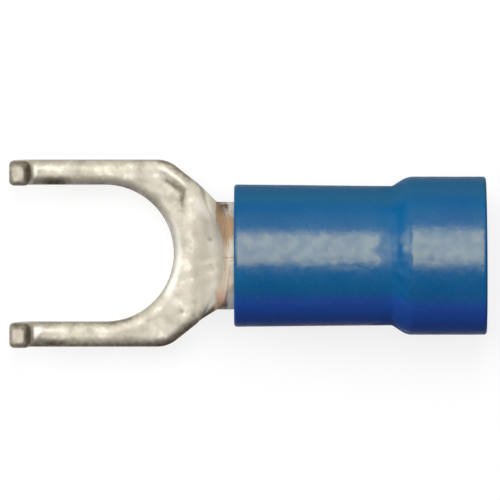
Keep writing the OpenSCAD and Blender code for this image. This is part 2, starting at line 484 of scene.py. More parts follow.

# Painted shade along edges that face -Y, and painted dark lines along those that face +Y: where they end,
# widths and strengths.
# A pair of widths or strengths goes from the tine to the fork's body; other pairs are a start and a span.
FORK_END = (3.2, 0.6)
LOW_EDGE_END = (3.7, 0.5)
SHADE_WIDTH_OUTER = (0.19, 0.27)
SHADE_WIDTH_INNER = 0.09
SHADE_WIDENS = (0.8, 1.2)
SHADE_TURN_OUTER = (0.2, 0.5)
SHADE_TURN_INNER = (0.45, 0.3)
SHADE_OUTER = (0.70, 0.86)
SHADE_INNER = 0.56
LINE_TURN = (0.2, 0.4)
LINE_WIDTH_OUTER = (0.13, 0.2)
LINE_WIDTH_INNER = 0.17
LINE_OUTER = (0.06, 0.6)
LINE_INNER = (0.36, 0.54)
LINE_DEEPENS = (-0.3, 0.8)
LINE_INNER_END = (0.9, 0.8)


def roll_drop(u):
    """Fall of a rolled edge's upper face at a distance u inside the edge."""
    reach = np.clip(ROLL_WIDTH - u, 0, ROLL_WIDTH)
    return ROLL_R - np.sqrt(ROLL_R**2 - reach**2)


def crease_at(points):
    """Nearness, 0 to 1, to the pressed line inside the upper shoulder."""
    best = np.zeros(len(points))
    for i in range(len(CREASE) - 1):
        run = CREASE[i + 1] - CREASE[i]
        t = np.clip(((points - CREASE[i]) @ run) / (run @ run), 0, 1)
        away = np.linalg.norm(points - (CREASE[i] + t[:, None] * run), axis=1)
        strength = lerp(CREASE_STRENGTH[i], CREASE_STRENGTH[i + 1], t)
        best = np.maximum(best, strength * bell(away, 0, CREASE_WIDTH))
    return best


def leaned(stations, side):
    """Stations with the upper shoulder's edge less rolled than the lower one's."""
    stations = stations.copy()
    if side > 0:
        shoulder = window(stations[:, 0], *LEAN_ZONE) * (stations[:, OUT_Q] > LEAN_FACING)
        stations[:, ROLL] *= 1 - LEAN_SHARE * shoulder
    return stations


def edge_painted_shade(p, side, out_q, inside, bevel):
    """Painted shade on the upper face beside its edges, from where they face and the distance inside them."""
    outer = out_q > 0
    facing = -out_q * side
    fork = fall(p, *FORK_END)
    width = np.where(outer, lerp(*SHADE_WIDTH_OUTER, rise(p, *SHADE_WIDENS)), SHADE_WIDTH_INNER)
    turned = np.where(outer, rise(facing, *SHADE_TURN_OUTER), rise(facing, *SHADE_TURN_INNER))
    end = np.where(outer & (side < 0), fall(p, *LOW_EDGE_END), fork)
    shade = np.where(outer, lerp(*SHADE_OUTER, bevel), SHADE_INNER) * turned * bell(inside, 0, width) * end

    width = np.where(outer, lerp(*LINE_WIDTH_OUTER, bevel), LINE_WIDTH_INNER)
    line = rise(-facing, *LINE_TURN) * bell(inside, 0, width) * fork
    inner_depth = lerp(*LINE_INNER, rise(p, *LINE_DEEPENS)) * fall(p, *LINE_INNER_END)
    return np.maximum(shade, np.where(outer, lerp(*LINE_OUTER, bevel), inner_depth) * line)


# Tines, with v from -1 to 1 across each.
# Painted shadow in the lip's bend: strength, and start and span in the lip's share
LIP_PAINTED_SHADOW = 0.75
LIP_SHADOW_SPAN = (0.22, 0.3)
# Painted shade on the lower edge near the lip: strength on the upper and lower tine, place and length along
# p, fall across v, end along the tine, and margin at the lip
TINE_PAINTED_SHADE = (0.82, 0.7)
TINE_SHADE_AT = (-2.0, 0.75)
TINE_SHADE_ACROSS = (-0.8, 0.9)
TINE_END = (-1.2, 0.9)
LIP_MARGIN = 0.1
# Painted highlight beside the lip: strength, places and lengths on the upper and lower tine, wander of its
# border, slanting lower border (v at a place p, slope, span) and upper border across v
PATCH_PAINTED_LIGHT = 0.66
PATCH_AT = (-2.82, -2.66)
PATCH_LENGTH = (0.30, 0.40)
PATCH_WANDER = 0.12
PATCH_GRAIN = 0.3
PATCH_SEED = 3
PATCH_LOW = -1.3
PATCH_LOW_P = -2.9
PATCH_SLANT = 2.6
PATCH_LOW_SPAN = 0.7
PATCH_TOP = (0.4, 0.6)
# Painted highlight along the tine: strength, place and width across v, stretch along p
BAND_PAINTED_LIGHT = 0.42
BAND_ACROSS = (0.4, 0.24)
BAND_ZONE = (-2.9, 0.2, -2.2, 1.0)


def tine_marks(p, q, side, spots):
    """Painted shade and painted highlights of the tines and the lips' bends."""
    upper = side > 0
    v = (q - side * TINE_MID) / TINE_HALF
    shade_and_blotches = LIP_PAINTED_SHADOW * rise(lip_share(p), *LIP_SHADOW_SPAN) * (p < LIP_BEND_X)
    tine = (p > LIP_BEND_X - LIP_MARGIN) * fall(p, *TINE_END)
    low_edge = fall(v, *TINE_SHADE_ACROSS) * bell(p, *TINE_SHADE_AT) * tine
    shade_and_blotches = np.maximum(shade_and_blotches, np.where(upper, *TINE_PAINTED_SHADE) * low_edge)
    drift = PATCH_WANDER * ripple(spots, PATCH_GRAIN, PATCH_SEED)
    patch = bell(p + drift, np.where(upper, *PATCH_AT), np.where(upper, *PATCH_LENGTH))
    low = PATCH_LOW + PATCH_SLANT * (p - PATCH_LOW_P)
    painted_light = PATCH_PAINTED_LIGHT * rise(v, low, PATCH_LOW_SPAN) * fall(v, *PATCH_TOP) * patch
    return shade_and_blotches, np.maximum(painted_light, BAND_PAINTED_LIGHT * bell(v, *BAND_ACROSS) * window(p, *BAND_ZONE))


# Painted highlight round the slot's end: strength, place and width beyond the slot, start along p, stretch
# across q
SLOT_PAINTED_LIGHT = 0.66
SLOT_LIGHT_AT = 0.18
SLOT_LIGHT_WIDTH = 0.21
SLOT_LIGHT_FROM = (1.5, 0.8)
SLOT_LIGHT_ACROSS = (-2.2, 1.0, 1.25, 0.7)
# Painted light over the fork's body
BODY_PAINTED_LIGHT = 0.27
# Painted light in the neck's hollow, against its shade: lower and upper strength, change and stretch across
# q; and on its lower wall
MOUTH_PAINTED_LIGHT = (0.3, 0.62)
MOUTH_CHANGE = (-0.2, 0.9)
MOUTH_ACROSS = (-1.9, 0.7, 2.3, 0.4)
LOW_WALL_PAINTED_LIGHT = 0.5
LOW_WALL_FROM = (0.8, 1.0)


def plate_painted_light(p, q):
    """Painted light on the fork's body and in the neck's hollow."""
    slot_end = bell(np.hypot(p, q), SLOT_R + SLOT_LIGHT_AT, SLOT_LIGHT_WIDTH) * rise(p, *SLOT_LIGHT_FROM)
    slot_end = SLOT_PAINTED_LIGHT * slot_end * window(q, *SLOT_LIGHT_ACROSS)
    painted_light = np.maximum(BODY_PAINTED_LIGHT * window(p, *BODY_ZONE), slot_end)
    # Painted light on the listed places of the plate
    for bank_p, bank_q, size, gloss in BANKS:
        painted_light = np.maximum(painted_light, gloss * bell(np.hypot(p - bank_p, q - bank_q), 0, size))
    mouth = lerp(*MOUTH_PAINTED_LIGHT, rise(q, *MOUTH_CHANGE)) * window(q, *MOUTH_ACROSS) * window(p, *MOUTH_ZONE)
    low_wall = LOW_WALL_PAINTED_LIGHT * rise(-q, *LOW_WALL_FROM) * window(p, *LOW_WALL_ZONE)
    return np.maximum(painted_light, np.maximum(mouth, low_wall))


def upper_face(points, stations):
    """Height of the upper face over the sheet's middle, its painted shade and blotches, painted light and
    dullness, at signed points.
    """
    p, q = points[:, 0], points[:, 1]
    flat = np.column_stack([p, np.abs(q)])
    side = np.sign(q + TINY)
    gaps = np.linalg.norm(flat[:, None, :] - stations[None, :, :2], axis=2)
    nearest = gaps.argmin(axis=1)
    inside = gaps[np.arange(len(flat)), nearest] + stations[nearest, INSET]
    out_q = stations[nearest, OUT_Q]
    wide = np.abs(q) > SHOULDER_Q
    ridge = window(p, *RIDGE_ZONE) * wide * bell(inside, RIDGE_IN, RIDGE_WIDTH) * (out_q > 0) * (side > 0)
    crease = crease_at(points)
    height = SHEET / 2 - stations[nearest, ROLL] * roll_drop(inside)
    height = height + RIDGE_HEIGHT * ridge - CREASE_DEPTH * crease
    bevel = window(p, *BEVEL_ZONE) * wide
    # Painted shade in the pressed line and beside the edges
    shade_and_blotches = np.maximum(CREASE_PAINTED_SHADE * crease, edge_painted_shade(p, side, out_q, inside, bevel))
    for dent_p, dent_q, size, depth, mark in DENTS:
        near = bell(np.hypot(p - dent_p, q - dent_q), 0, size)
        height = height - depth * near
        shade_and_blotches = np.maximum(shade_and_blotches, mark * near)
    for x in GROOVES:
        start, end = x - GROOVE_WALL / 2, x + GROOVE_W - GROOVE_WALL / 2
        height = height - GROOVE_DEPTH * window(p, start, GROOVE_WALL, end, GROOVE_WALL)
    spots = np.column_stack([points, np.zeros(len(points))])
    calm = lerp(CALM_LEAST, 1, rise(inside, *CALM_SPAN))
    height = height + calm * sum(size * ripple(spots, grain, seed) for size, grain, seed in SHEET_WAVES)
    tine_shade, tine_painted_light = tine_marks(p, q, side, spots)
    # Painted light of the tines, the plate and the ridge
    painted_light = np.maximum(np.maximum(tine_painted_light, plate_painted_light(p, q)), RIDGE_PAINTED_LIGHT * ridge)
    return height, np.maximum(shade_and_blotches, tine_shade), painted_light, window(p, *DULL_ZONE)


# Under face of neck and barrel, which climbs to the top.
# On the lower half, marks that follow the climb lie this much further up the curl
LOW_CLIMB = 0.6
# Bare metal behind the rim: strength, start along p, start up q;
# its far end low and high on the curl, climb between them, and fall past it
BARE = 0.62
BARE_FROM = (4.05, 0.3)
BARE_UP = (1.9, 0.5)
BARE_FAR = (4.72, 5.2)
BARE_FAR_CLIMB = (3.6, 0.8)
BARE_FALL = 0.2
# Painted light on the flanks beside the sleeve: strength, start along p, start up q, end up the curl
COLLAR_PAINTED_LIGHT = 0.6
COLLAR_FROM = (4.6, 0.3)
COLLAR_UP = (1.9, 0.4)
COLLAR_END = (3.3, 0.6)


def under_marks(p, q, side):
    """Bareness, painted light and dullness of the under face."""
    up = np.abs(q)
    climb = up - (0 if side > 0 else LOW_CLIMB)
    far = lerp(*BARE_FAR, rise(climb, *BARE_FAR_CLIMB))
    bare = BARE * rise(p, *BARE_FROM) * rise(up, *BARE_UP) * fall(p, far, BARE_FALL)
    # Painted light on the flanks beside the sleeve
    collar_light = COLLAR_PAINTED_LIGHT * rise(p, *COLLAR_FROM) * rise(up, *COLLAR_UP) * fall(climb, *COLLAR_END)
    return bare, collar_light, window(p, *UNDER_DULL_ZONE)


# Rows of an edge's section on the upper face, round its corner, down the wall and round the lower corner
FACE_ROWS = 4
CORNER_ROWS = 8
SIDE_ROWS = 7
UNDER_ROWS = 5


def edge_profile(top, inset, roll, lip):
    """Section round an edge, from upper to under face, as rows (out from the inset line, n, edge share)."""
    corner = lerp(CORNER_R, LIP_ROUND, lip)
    under = lerp(UNDER_R, LIP_ROUND, lip)
    face = top + roll * roll_drop(inset)
    rows = [(inset - u, face - roll * roll_drop(u), 0) for u in np.linspace(inset, corner, FACE_ROWS)]
    crest = rows[-1][1]
    tilt = math.atan(roll * (ROLL_WIDTH - corner) / math.sqrt(ROLL_R**2 - (ROLL_WIDTH - corner) ** 2))
    r = corner / (1 - math.sin(tilt))
    for a in np.linspace(tilt, math.pi / 2, CORNER_ROWS)[1:]:
        rows.append((inset - r * (1 - math.sin(a)), crest - r * (math.cos(tilt) - math.cos(a)), 1))
    for n in np.linspace(rows[-1][1], under - SHEET / 2, SIDE_ROWS)[1:-1]:
        rows.append((inset, n, 1))
    for a in np.linspace(0, math.pi / 2, UNDER_ROWS):
        rows.append((inset - under * (1 - math.cos(a)), under * (1 - math.sin(a)) - SHEET / 2, 1))
    rows.append((0, -SHEET / 2, 0))
    return np.array(rows)


# Bareness of the faces just beside a bare cut
BESIDE_CUT = 0.35
# Painted shade round the border of a lip's end face: the inner side's offset and reach, the outer side's
# reach, strengths of the inner, outer and flanking sides, power of its rounded corners, start and span of its
# fade
BORDER_OFFSET = 0.08
BORDER_INNER = 0.26
BORDER_OUTER = 0.28
BORDER_SHADE_INNER = 0.8
BORDER_SHADE_OUTER = 0.42
BORDER_SHADE_SIDES = (0.62, 0.52)
BORDER_POWER = 4
BORDER_FADE = (0.6, 0.55)
BORDER_LEAST = 1e-6
# Lowest n that the upper face's painted shade and blotches reach down an edge
SHADE_AND_BLOTCH_DEPTH = -0.1
# Neck's cut edge: start along p, margin past the barrel's start, painted gleam on each half, share of painted
# edge shade it loses
NECK_CUT_FROM = (3.7, 0.3)
NECK_CUT_PAST = 0.5
NECK_PAINTED_GLEAM = (0.3, 0.5)
NECK_CLEAR = 0.9
# Painted shade low on the lower neck's edge: strength, start down n, start along p
RIND_SHADE = 0.92
RIND_SHADE_DOWN = (0.02, 0.2)
RIND_SHADE_FROM = (3.3, 0.3)
# Slot's arc in the light: start along p, turn to the light, margin about the slot, share of painted edge
# shade it loses
ARC_FROM = (0.3, 0.8)
ARC_TURN = (-0.7, 0.5)
ARC_MARGIN = 0.3
ARC_CLEAR = 0.95


def ring_marks(station, rows, shade_and_blotches, painted_light, side):
    """Bareness, painted shade and blotches, painted light and painted edge shade of an edge's section at a
    station.
    """
    p, q, _, bq, _, _, lip, cut = station
    n, edge = rows[:, 1], rows[:, 2]
    bare = cut * np.where(edge == 0, BESIDE_CUT, edge)

    # Painted shade round the border of the lip's end face
    inner = np.maximum((n + BORDER_OFFSET) / BORDER_INNER, 0) ** BORDER_POWER
    outer = np.maximum(-n / BORDER_OUTER, 0) ** BORDER_POWER
    flank = ((abs(q - TINE_MID) + LIP_ROUND * abs(bq)) / (TINE_HALF - LIP_ROUND)) ** BORDER_POWER
    weight = inner + outer + flank
    flank_shade = BORDER_SHADE_SIDES[0 if bq * side > 0 else 1]
    shade_tint = BORDER_SHADE_INNER * inner + BORDER_SHADE_OUTER * outer + flank_shade * flank
    border = shade_tint / (weight + BORDER_LEAST) * rise(weight ** (1 / BORDER_POWER), *BORDER_FADE)
    ring_shade_and_blotches = np.maximum(shade_and_blotches * (n > SHADE_AND_BLOTCH_DEPTH) * (1 - lip), lip * edge * border)

    at_neck = (1 - cut) * (p < BARREL_X + NECK_CUT_PAST)
    # Painted shade low on the lower neck's edge
    if side < 0:
        low_neck = rise(p, *RIND_SHADE_FROM) * at_neck * (bq > 0)
        ring_shade_and_blotches = np.maximum(ring_shade_and_blotches, RIND_SHADE * rise(-n, *RIND_SHADE_DOWN) * low_neck * edge)
    neck_cut = rise(p, *NECK_CUT_FROM) * at_neck
    bright_arc = rise(p, *ARC_FROM) * rise(bq * side, *ARC_TURN) * (math.hypot(p, q) < SLOT_R + ARC_MARGIN)
    # Painted shade on the edge walls, cleared where light falls on the slot's arc and the neck's cut
    shade_tint = edge * (1 - lip) * (1 - ARC_CLEAR * bright_arc) * (1 - NECK_CLEAR * neck_cut)
    # Painted light on the faces, and a painted gleam on the neck's cut edge
    painted_gleam = np.maximum(painted_light * (edge == 0), NECK_PAINTED_GLEAM[0 if side > 0 else 1] * neck_cut * edge)
    return bare, ring_shade_and_blotches, painted_gleam, shade_tint


def half_shell(blocks, stations, side):
    """Vertices, faces and marks of one half of the stamping; side is 1 or -1 along Y."""
    vertices, faces, marks = [], [], []
    stations = leaned(stations, side)
    total = 0

    def put(places, cut, shade_and_blotches, painted_light, edge, dull):
        nonlocal total
        vertices.append(places)
        values = (cut, shade_and_blotches, painted_light, edge, dull)
        marks.append(np.stack([np.broadcast_to(v, len(places)) for v in values], axis=-1))
        total += len(places)
        return total - len(places)

    def quads(start, rows, columns, flip):
        for i in range(rows - 1):
            for j in range(columns - 1):
                a = start + i * columns + j
                face = (a, a + columns, a + columns + 1, a + 1)
                faces.append(face[::-1] if flip else face)

    for grid in blocks:
        rows, columns = grid.shape[:2]
        signed = grid.reshape(-1, 2) * (1, side)
        p, q = signed[:, 0], signed[:, 1]
        run, climb = grid[1, 1] - grid[0, 1], grid[0, 2] - grid[0, 1]
        turned = (run[0] * climb[1] - run[1] * climb[0]) * side < 0
        top, shade_and_blotches, painted_light, dull = upper_face(signed, stations)
        quads(put(form(p, q, top), 0, shade_and_blotches, painted_light, 0, dull), rows, columns, turned)
        bare, collar_light, faded = under_marks(p, q, side)
        quads(put(form(p, q, -SHEET / 2), bare, 0, collar_light, 0, faded), rows, columns, not turned)

    rings = []
    for station, top, shade_and_blotches, painted_light, dull in zip(stations, *upper_face(stations[:, :2] * (1, side), stations)):
        p, q, bp, bq, inset, roll, lip, _ = station
        rows = edge_profile(top, inset, roll, lip)
        places = form(p + bp * rows[:, 0], side * (q + bq * rows[:, 0]), rows[:, 1])
        rings.append(put(places, *ring_marks(station, rows, shade_and_blotches, painted_light, side), dull))
    levels = len(rows)
    for a, b in zip(rings[:-1], rings[1:]):
        for k in range(levels - 1):
            face = (a + k, a + k + 1, b + k + 1, b + k)
            faces.append(face if side > 0 else face[::-1])
    return np.concatenate(vertices), faces, np.concatenate(marks)


# Vertices that agree when rounded to this many steps a millimetre are merged
MERGE_STEPS = 1e5
# Marks on the metal: bare copper, painted shade with dark blotches, painted light, painted shade on the edge
# walls, dullness
METAL_MARKS = ("cut", "shade_and_blotches", "painted_light", "edge", "dull")


def build_terminal():
    """The metal stamping, both halves merged into one closed mesh."""
    blocks, stations = blank_blocks()
    parts = [half_shell(blocks, stations, side) for side in (1, -1)]
    offset = len(parts[0][0])
    vertices = np.concatenate([part[0] for part in parts])
    faces = parts[0][1] + [tuple(i + offset for i in face) for face in parts[1][1]]
    marks = np.concatenate([part[2] for part in parts])
    keys = np.round(vertices * MERGE_STEPS).astype(np.int64)
    _, first, where = np.unique(keys, axis=0, return_index=True, return_inverse=True)
    where = where.reshape(-1)
    merged = []
    for face in faces:
        loop = list(dict.fromkeys(int(where[i]) for i in face))
        if len(loop) > 2:
            merged.append(loop)
    attributes = [(name, marks[first, i]) for i, name in enumerate(METAL_MARKS)]
    piece = new_piece("terminal_stamping", vertices[first], merged, attributes)
    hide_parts("fork_terminal")
    return piece


# Sleeve

# Rows of the section: round an edge, along the waist, along the entry, down a step
ARC_STEPS = 6
WAIST_STEPS = 70
ENTRY_STEPS = 34
STEP_STEPS = 28
AROUND = 256
# Points this far outside the bore lie on the outer skin
SKIN_OUT = 0.3
# Unevenness of the skin: depth, size, seed, scale of X
SKIN = ((0.008, 2.2, 4, 1.0), (0.0035, 0.62, 5, 0.7), (0.0032, 0.3, 6, 1.0))
# Scuffs: start, end, place round the axis in degrees from the top, depth; and their ends and width
SCUFFS = (
    (8.3, 9.9, -0.2, 0.008), (8.6, 10.0, -5.5, 0.008), (7.2, 7.9, 9.0, 0.006), (12.6, 13.4, -1.0, 0.007),
)
SCUFF_END = 0.15
SCUFF_WIDTH = 2.2
# Matte band at the step: start before and end past the waist's end, span of both;
# wander of its border, mean, and mottling, with the size and seed of the wander and mottling
MATTE_FROM = 0.75
MATTE_TO = 0.36
MATTE_SPAN = 0.5
MATTE_WANDER = (0.45, 0.5, 8)
MATTE_MEAN = 0.85
MATTE_MOTTLE = (0.3, 0.3, 9)
# Painted violet shade towards -Y and painted sheen towards +Y, in degrees from the top: start, its span, end,
# its span
VIOLET_ZONE = (23, 19, 120, 40)
SHEEN_ZONE = (42, 14, 120, 40)
# Wavy line of the step: size of the shift along X, grain, seed, span; and set-back of the skewed end
STEP_WAVE = 0.07
STEP_WAVE_GRAIN = 0.4
STEP_WAVE_SEED = 10
STEP_WAVE_SPAN = 0.5
SKEW = 0.04


def sleeve_profile():
    """Closed section of the sleeve as (x, radius) rows, outside first and then back through the bore."""
    r = SLEEVE_EDGE
    rows = []

    def arc(x, radius, a0, a1):
        for a in np.radians(np.linspace(a0, a1, ARC_STEPS + 1)):
            rows.append((x + r * math.cos(a), radius + r * math.sin(a)))

    def run(x0, r0, x1, r1, steps):
        for t in np.linspace(0, 1, steps + 1)[1:-1]:
            rows.append((lerp(x0, x1, t), lerp(r0, r1, t)))

    def step(x0, r0, x1, r1):
        for t in np.linspace(0, 1, STEP_STEPS + 1):
            s = 1 - (1 - t) ** STEP_EASE if r1 > r0 else t**STEP_EASE
            rows.append((lerp(x0, x1, t), lerp(r0, r1, (1 - math.cos(math.pi * s)) / 2)))

    arc(SLEEVE_X + r, FRONT_R - r, 180, 90)
    run(SLEEVE_X + r, FRONT_R, WAIST_X, WAIST_R, WAIST_STEPS)
    step(WAIST_X, WAIST_R, ENTRY_X, ENTRY_R)
    run(ENTRY_X, ENTRY_R, SLEEVE_END - r, ENTRY_R, ENTRY_STEPS)
    arc(SLEEVE_END - r, ENTRY_R - r, 90, 0)
    arc(SLEEVE_END - r, ENTRY_BORE + r, 0, -90)
    step(ENTRY_X, ENTRY_BORE, WAIST_X, SLEEVE_BORE)
    rows.append((SLEEVE_X + r, SLEEVE_BORE))
    rows.append((SLEEVE_X, SLEEVE_BORE + r))
    return np.array(rows)


def build_sleeve():
    """The plastic sleeve, turned about the barrel's axis, with the unevenness and scuffs of soft vinyl."""
    profile = sleeve_profile()
    turn = np.linspace(0, 2 * math.pi, AROUND, endpoint=False)
    x = np.repeat(profile[:, 0], AROUND)
    radius = np.repeat(profile[:, 1], AROUND)
    a = np.tile(turn, len(profile))
    places = np.column_stack([x, radius * np.cos(a), radius * np.sin(a)])
    outside = radius > SLEEVE_BORE + SKIN_OUT
    away = np.degrees(np.arctan2(np.cos(a), np.sin(a)))

    sunk = sum(
        depth * (0.5 + 0.5 * ripple(places * (share, 1, 1), size, seed)) for depth, size, seed, share in SKIN
    )
    for x0, x1, at, depth in SCUFFS:
        ends = window(x, x0, SCUFF_END, x1 - SCUFF_END, SCUFF_END)
        sunk = sunk + depth * ends * bell(away, at, SCUFF_WIDTH)
    radius = radius - np.where(outside, sunk, 0)

    wander, *grain = MATTE_WANDER
    border = x + wander * ripple(places, *grain)
    matte = window(border, WAIST_X - MATTE_FROM, MATTE_SPAN, WAIST_X + MATTE_TO, MATTE_SPAN)
    mottle, *grain = MATTE_MOTTLE
    matte = matte * (MATTE_MEAN + mottle * ripple(places, *grain))
    # Matte band, painted violet shade towards -Y and painted sheen towards +Y
    looks = {"matte": matte, "violet_shade": window(-away, *VIOLET_ZONE), "painted_sheen": window(away, *SHEEN_ZONE)}
    marks = [(name, np.where(outside, values, 0)) for name, values in looks.items()]

    in_step = window(x, WAIST_X - STEP_WAVE_SPAN, STEP_WAVE_SPAN, ENTRY_X, STEP_WAVE_SPAN)
    wave = STEP_WAVE * in_step * ripple(places, STEP_WAVE_GRAIN, STEP_WAVE_SEED)
    x = x + np.where(outside, wave, 0)
    y = radius * np.cos(a)
    skew = SKEW * rise(x, ENTRY_X, SLEEVE_END - ENTRY_X) * (1 + y / ENTRY_R) / 2
    vertices = np.column_stack([x - skew, y, AXIS_Z + radius * np.sin(a)])
    faces = []
    rows = len(profile)
    for i in range(rows):
        for j in range(AROUND):
            k, m = (i + 1) % rows, (j + 1) % AROUND
            faces.append((i * AROUND + j, i * AROUND + m, k * AROUND + m, k * AROUND + j))
    piece = new_piece("vinyl_sleeve", vertices, faces, marks)
    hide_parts("insulating_sleeve")
    return piece


# Materials

class Graph:
    """A material's node tree, with short calls to add and join nodes."""

    def __init__(self, name):
        self.material = bpy.data.materials.new(name)
        self.material.use_nodes = True
        self.tree = self.material.node_tree
        self.shader = self.tree.nodes["Principled BSDF"]

    def feed(self, socket, value):
        """Joins another node's output to a socket, or sets a plain value on it."""
        if isinstance(value, bpy.types.NodeSocket):
            self.tree.links.new(value, socket)
        else:
            socket.default_value = value

    def add(self, kind, inputs=(), **settings):
        node = self.tree.nodes.new(kind)
        for key, value in settings.items():
            setattr(node, key, value)
        for key, value in dict(inputs).items():
            self.feed(node.inputs[key], value)
        return node

    def set(self, socket, value):
        self.feed(self.shader.inputs[socket], value)

    def mark(self, name):
        return self.add("ShaderNodeAttribute", attribute_name=name).outputs["Fac"]

    def noise(self, vector, scale, detail, rough):
        return self.add("ShaderNodeTexNoise", {
            "Vector": vector, "Scale": scale, "Detail": detail, "Roughness": rough,
        }).outputs["Fac"]

    def ramp(self, value, low, high, out_low=0.0, out_high=1.0):
        """Brings a value smoothly from the range low to high to the range out_low to out_high."""
        return self.add("ShaderNodeMapRange", {
            "Value": value, "From Min": low, "From Max": high, "To Min": out_low, "To Max": out_high,
        }, interpolation_type="SMOOTHSTEP").outputs["Result"]

    def mix(self, share, a, b):
        node = self.add("ShaderNodeMix", {0: share, 6: a, 7: b}, data_type="RGBA")
        return node.outputs[2]

    def math(self, operation, a, b=0.0):
        return self.add("ShaderNodeMath", {0: a, 1: b}, operation=operation).outputs[0]

    def bump(self, height, strength, distance):
        node = self.add("ShaderNodeBump", {"Strength": strength, "Distance": distance, "Height": height})
        self.set("Normal", node.outputs["Normal"])


# Noise: scale, detail, roughness
TIN_CLOUD = (620, 3, 0.5)
TIN_BLOTCH = (1700, 3, 0.55)
TIN_VEIL = (1000, 2, 0.5)
TIN_FINE = (5200, 3, 0.6)
VINYL_CLOUD = (420, 3, 0.5)
VINYL_SKIN = (2300, 4, 0.6)

# Colours of the metal
TIN_WARM = (0.665, 0.625, 0.505, 1)
TIN_COOL = (0.56, 0.525, 0.435, 1)
TIN_ROSY = (0.62, 0.54, 0.47, 1)
TIN_DARK = (0.43, 0.41, 0.33, 1)
TIN_PALE = (0.79, 0.77, 0.655, 1)
TIN_SPECK = (0.48, 0.45, 0.38, 1)
TIN_DULL = (0.645, 0.59, 0.495, 1)
# Colour of the painted light
TIN_PAINTED_LIGHT = (0.97, 0.95, 0.88, 1)
# Colour of the painted shade on the edge walls
TIN_EDGE_SHADE = (0.36, 0.33, 0.28, 1)
# Colour of the painted shade and of the dark blotches
SHADE_AND_BLOTCH_COLOUR = (0.12, 0.092, 0.058, 1)
COPPER_RED = (0.71, 0.44, 0.32, 1)
COPPER_BROWN = (0.48, 0.31, 0.18, 1)
# Colour of the painted highlight along the copper's middle
COPPER_HIGHLIGHT = (0.88, 0.76, 0.59, 1)
COPPER_CLOUD = (0.66, 0.44, 0.32, 1)
# Colour of the painted shade on the copper's flanks
COPPER_SHADE = (0.12, 0.05, 0.03, 1)
# Copper in metres: half width of its change of colour, middle and fade of the painted highlight, starts of
# the painted shade on the flanks
COPPER_CHANGE = 0.0012
COPPER_HIGHLIGHT_Y = -0.00045
COPPER_HIGHLIGHT_FADE = (0.0006, 0.0013)
FLANK_ACROSS = (0.0015, 0.0020)
FLANK_ALONG = (0.0042, 0.0047)


def tin_material():
    """Soft, blotched tin plate with painted shade along its edges and in its hollows, and painted light; bare
    copper shows on the barrel's cut rim.
    """
    g = Graph("tin_plate")
    place = g.add("ShaderNodeTexCoord").outputs["Object"]
    cut, shade_and_blotches, painted_light, edge, dull = (g.mark(name) for name in METAL_MARKS)
    cloud, blotch = g.noise(place, *TIN_CLOUD), g.noise(place, *TIN_BLOTCH)
    veil, fine = g.noise(place, *TIN_VEIL), g.noise(place, *TIN_FINE)
    tone = g.mix(g.ramp(cloud, 0.38, 0.62), TIN_WARM, TIN_COOL)
    # Layers over the tone: what drives each, where it starts and is full, greatest share, colour
    for driver, start, full, most, colour in (
        (veil, 0.48, 0.64, 0.6, TIN_ROSY),
        (blotch, 0.51, 0.68, 0.72, TIN_DARK),
        (blotch, 0.46, 0.33, 0.72, TIN_PALE),
        (fine, 0.40, 0.65, 0.25, TIN_SPECK),
        (dull, 0.0, 1.0, 0.5, TIN_DULL),
        # Painted light, then painted shade on the edge walls
        (painted_light, 0.1, 1.0, 0.9, TIN_PAINTED_LIGHT),
        (edge, 0.2, 1.0, 0.55, TIN_EDGE_SHADE),
    ):
        tone = g.mix(g.ramp(driver, start, full, 0, most), tone, colour)
    # Painted shade and dark blotches, with ragged borders
    ragged = g.math("ADD", shade_and_blotches, g.ramp(fine, 0.3, 0.7, -0.08, 0.08))
    tone = g.mix(g.ramp(ragged, 0.06, 0.95), tone, SHADE_AND_BLOTCH_COLOUR)

    split = g.add("ShaderNodeSeparateXYZ", {"Vector": place})
    along, across = split.outputs["X"], split.outputs["Y"]
    away = g.math("ABSOLUTE", g.math("SUBTRACT", across, COPPER_HIGHLIGHT_Y))
    copper = g.mix(g.ramp(across, -COPPER_CHANGE, COPPER_CHANGE), COPPER_RED, COPPER_BROWN)
    # Painted highlight along the copper's middle
    copper = g.mix(g.ramp(away, *COPPER_HIGHLIGHT_FADE, 0.9, 0.0), copper, COPPER_HIGHLIGHT)
    copper = g.mix(g.ramp(veil, 0.52, 0.66, 0, 0.5), copper, COPPER_CLOUD)
    # Painted shade on the copper's flanks
    side = g.ramp(g.math("ABSOLUTE", across), *FLANK_ACROSS)
    flank = g.math("MULTIPLY", side, g.ramp(along, *FLANK_ALONG, 0.35, 0.92))
    copper = g.mix(flank, copper, COPPER_SHADE)
    bare = g.math("ADD", cut, g.ramp(blotch, 0.3, 0.7, -0.25, 0.25))
    oxide = g.ramp(bare, 0.25, 0.8)
    g.set("Base Color", g.mix(oxide, tone, copper))

    metal = g.ramp(dull, 0, 1, 0.85, 0.35)
    g.set("Metallic", g.math("MULTIPLY", metal, g.ramp(oxide, 0, 1, 1.0, 0.3)))
    satin = g.math("ADD", g.ramp(blotch, 0.3, 0.75, 0.59, 0.67), g.ramp(dull, 0, 1, 0.0, 0.14))
    g.set("Roughness", g.math("SUBTRACT", satin, g.ramp(painted_light, 0.1, 1.0, 0.0, 0.16)))
    relief = g.math("ADD", g.math("MULTIPLY", blotch, 0.6), g.math("MULTIPLY", fine, 0.2))
    g.bump(relief, strength=0.25, distance=0.00002)
    return g.material


# Colours of the sleeve
DYE_DEEP = (0.002, 0.102, 0.282, 1)
DYE_LIGHT = (0.005, 0.116, 0.297, 1)
# Colour of the painted sheen on the +Y flank
SHEEN_BLUE = (0.021, 0.124, 0.262, 1)
# Colour of the painted violet shade on the -Y side
VIOLET_SHADE_COLOUR = (0.030, 0.063, 0.450, 1)
VIOLET_SHARE = 0.62
GLOSS_TINT = (1.0, 0.88, 0.42, 1)


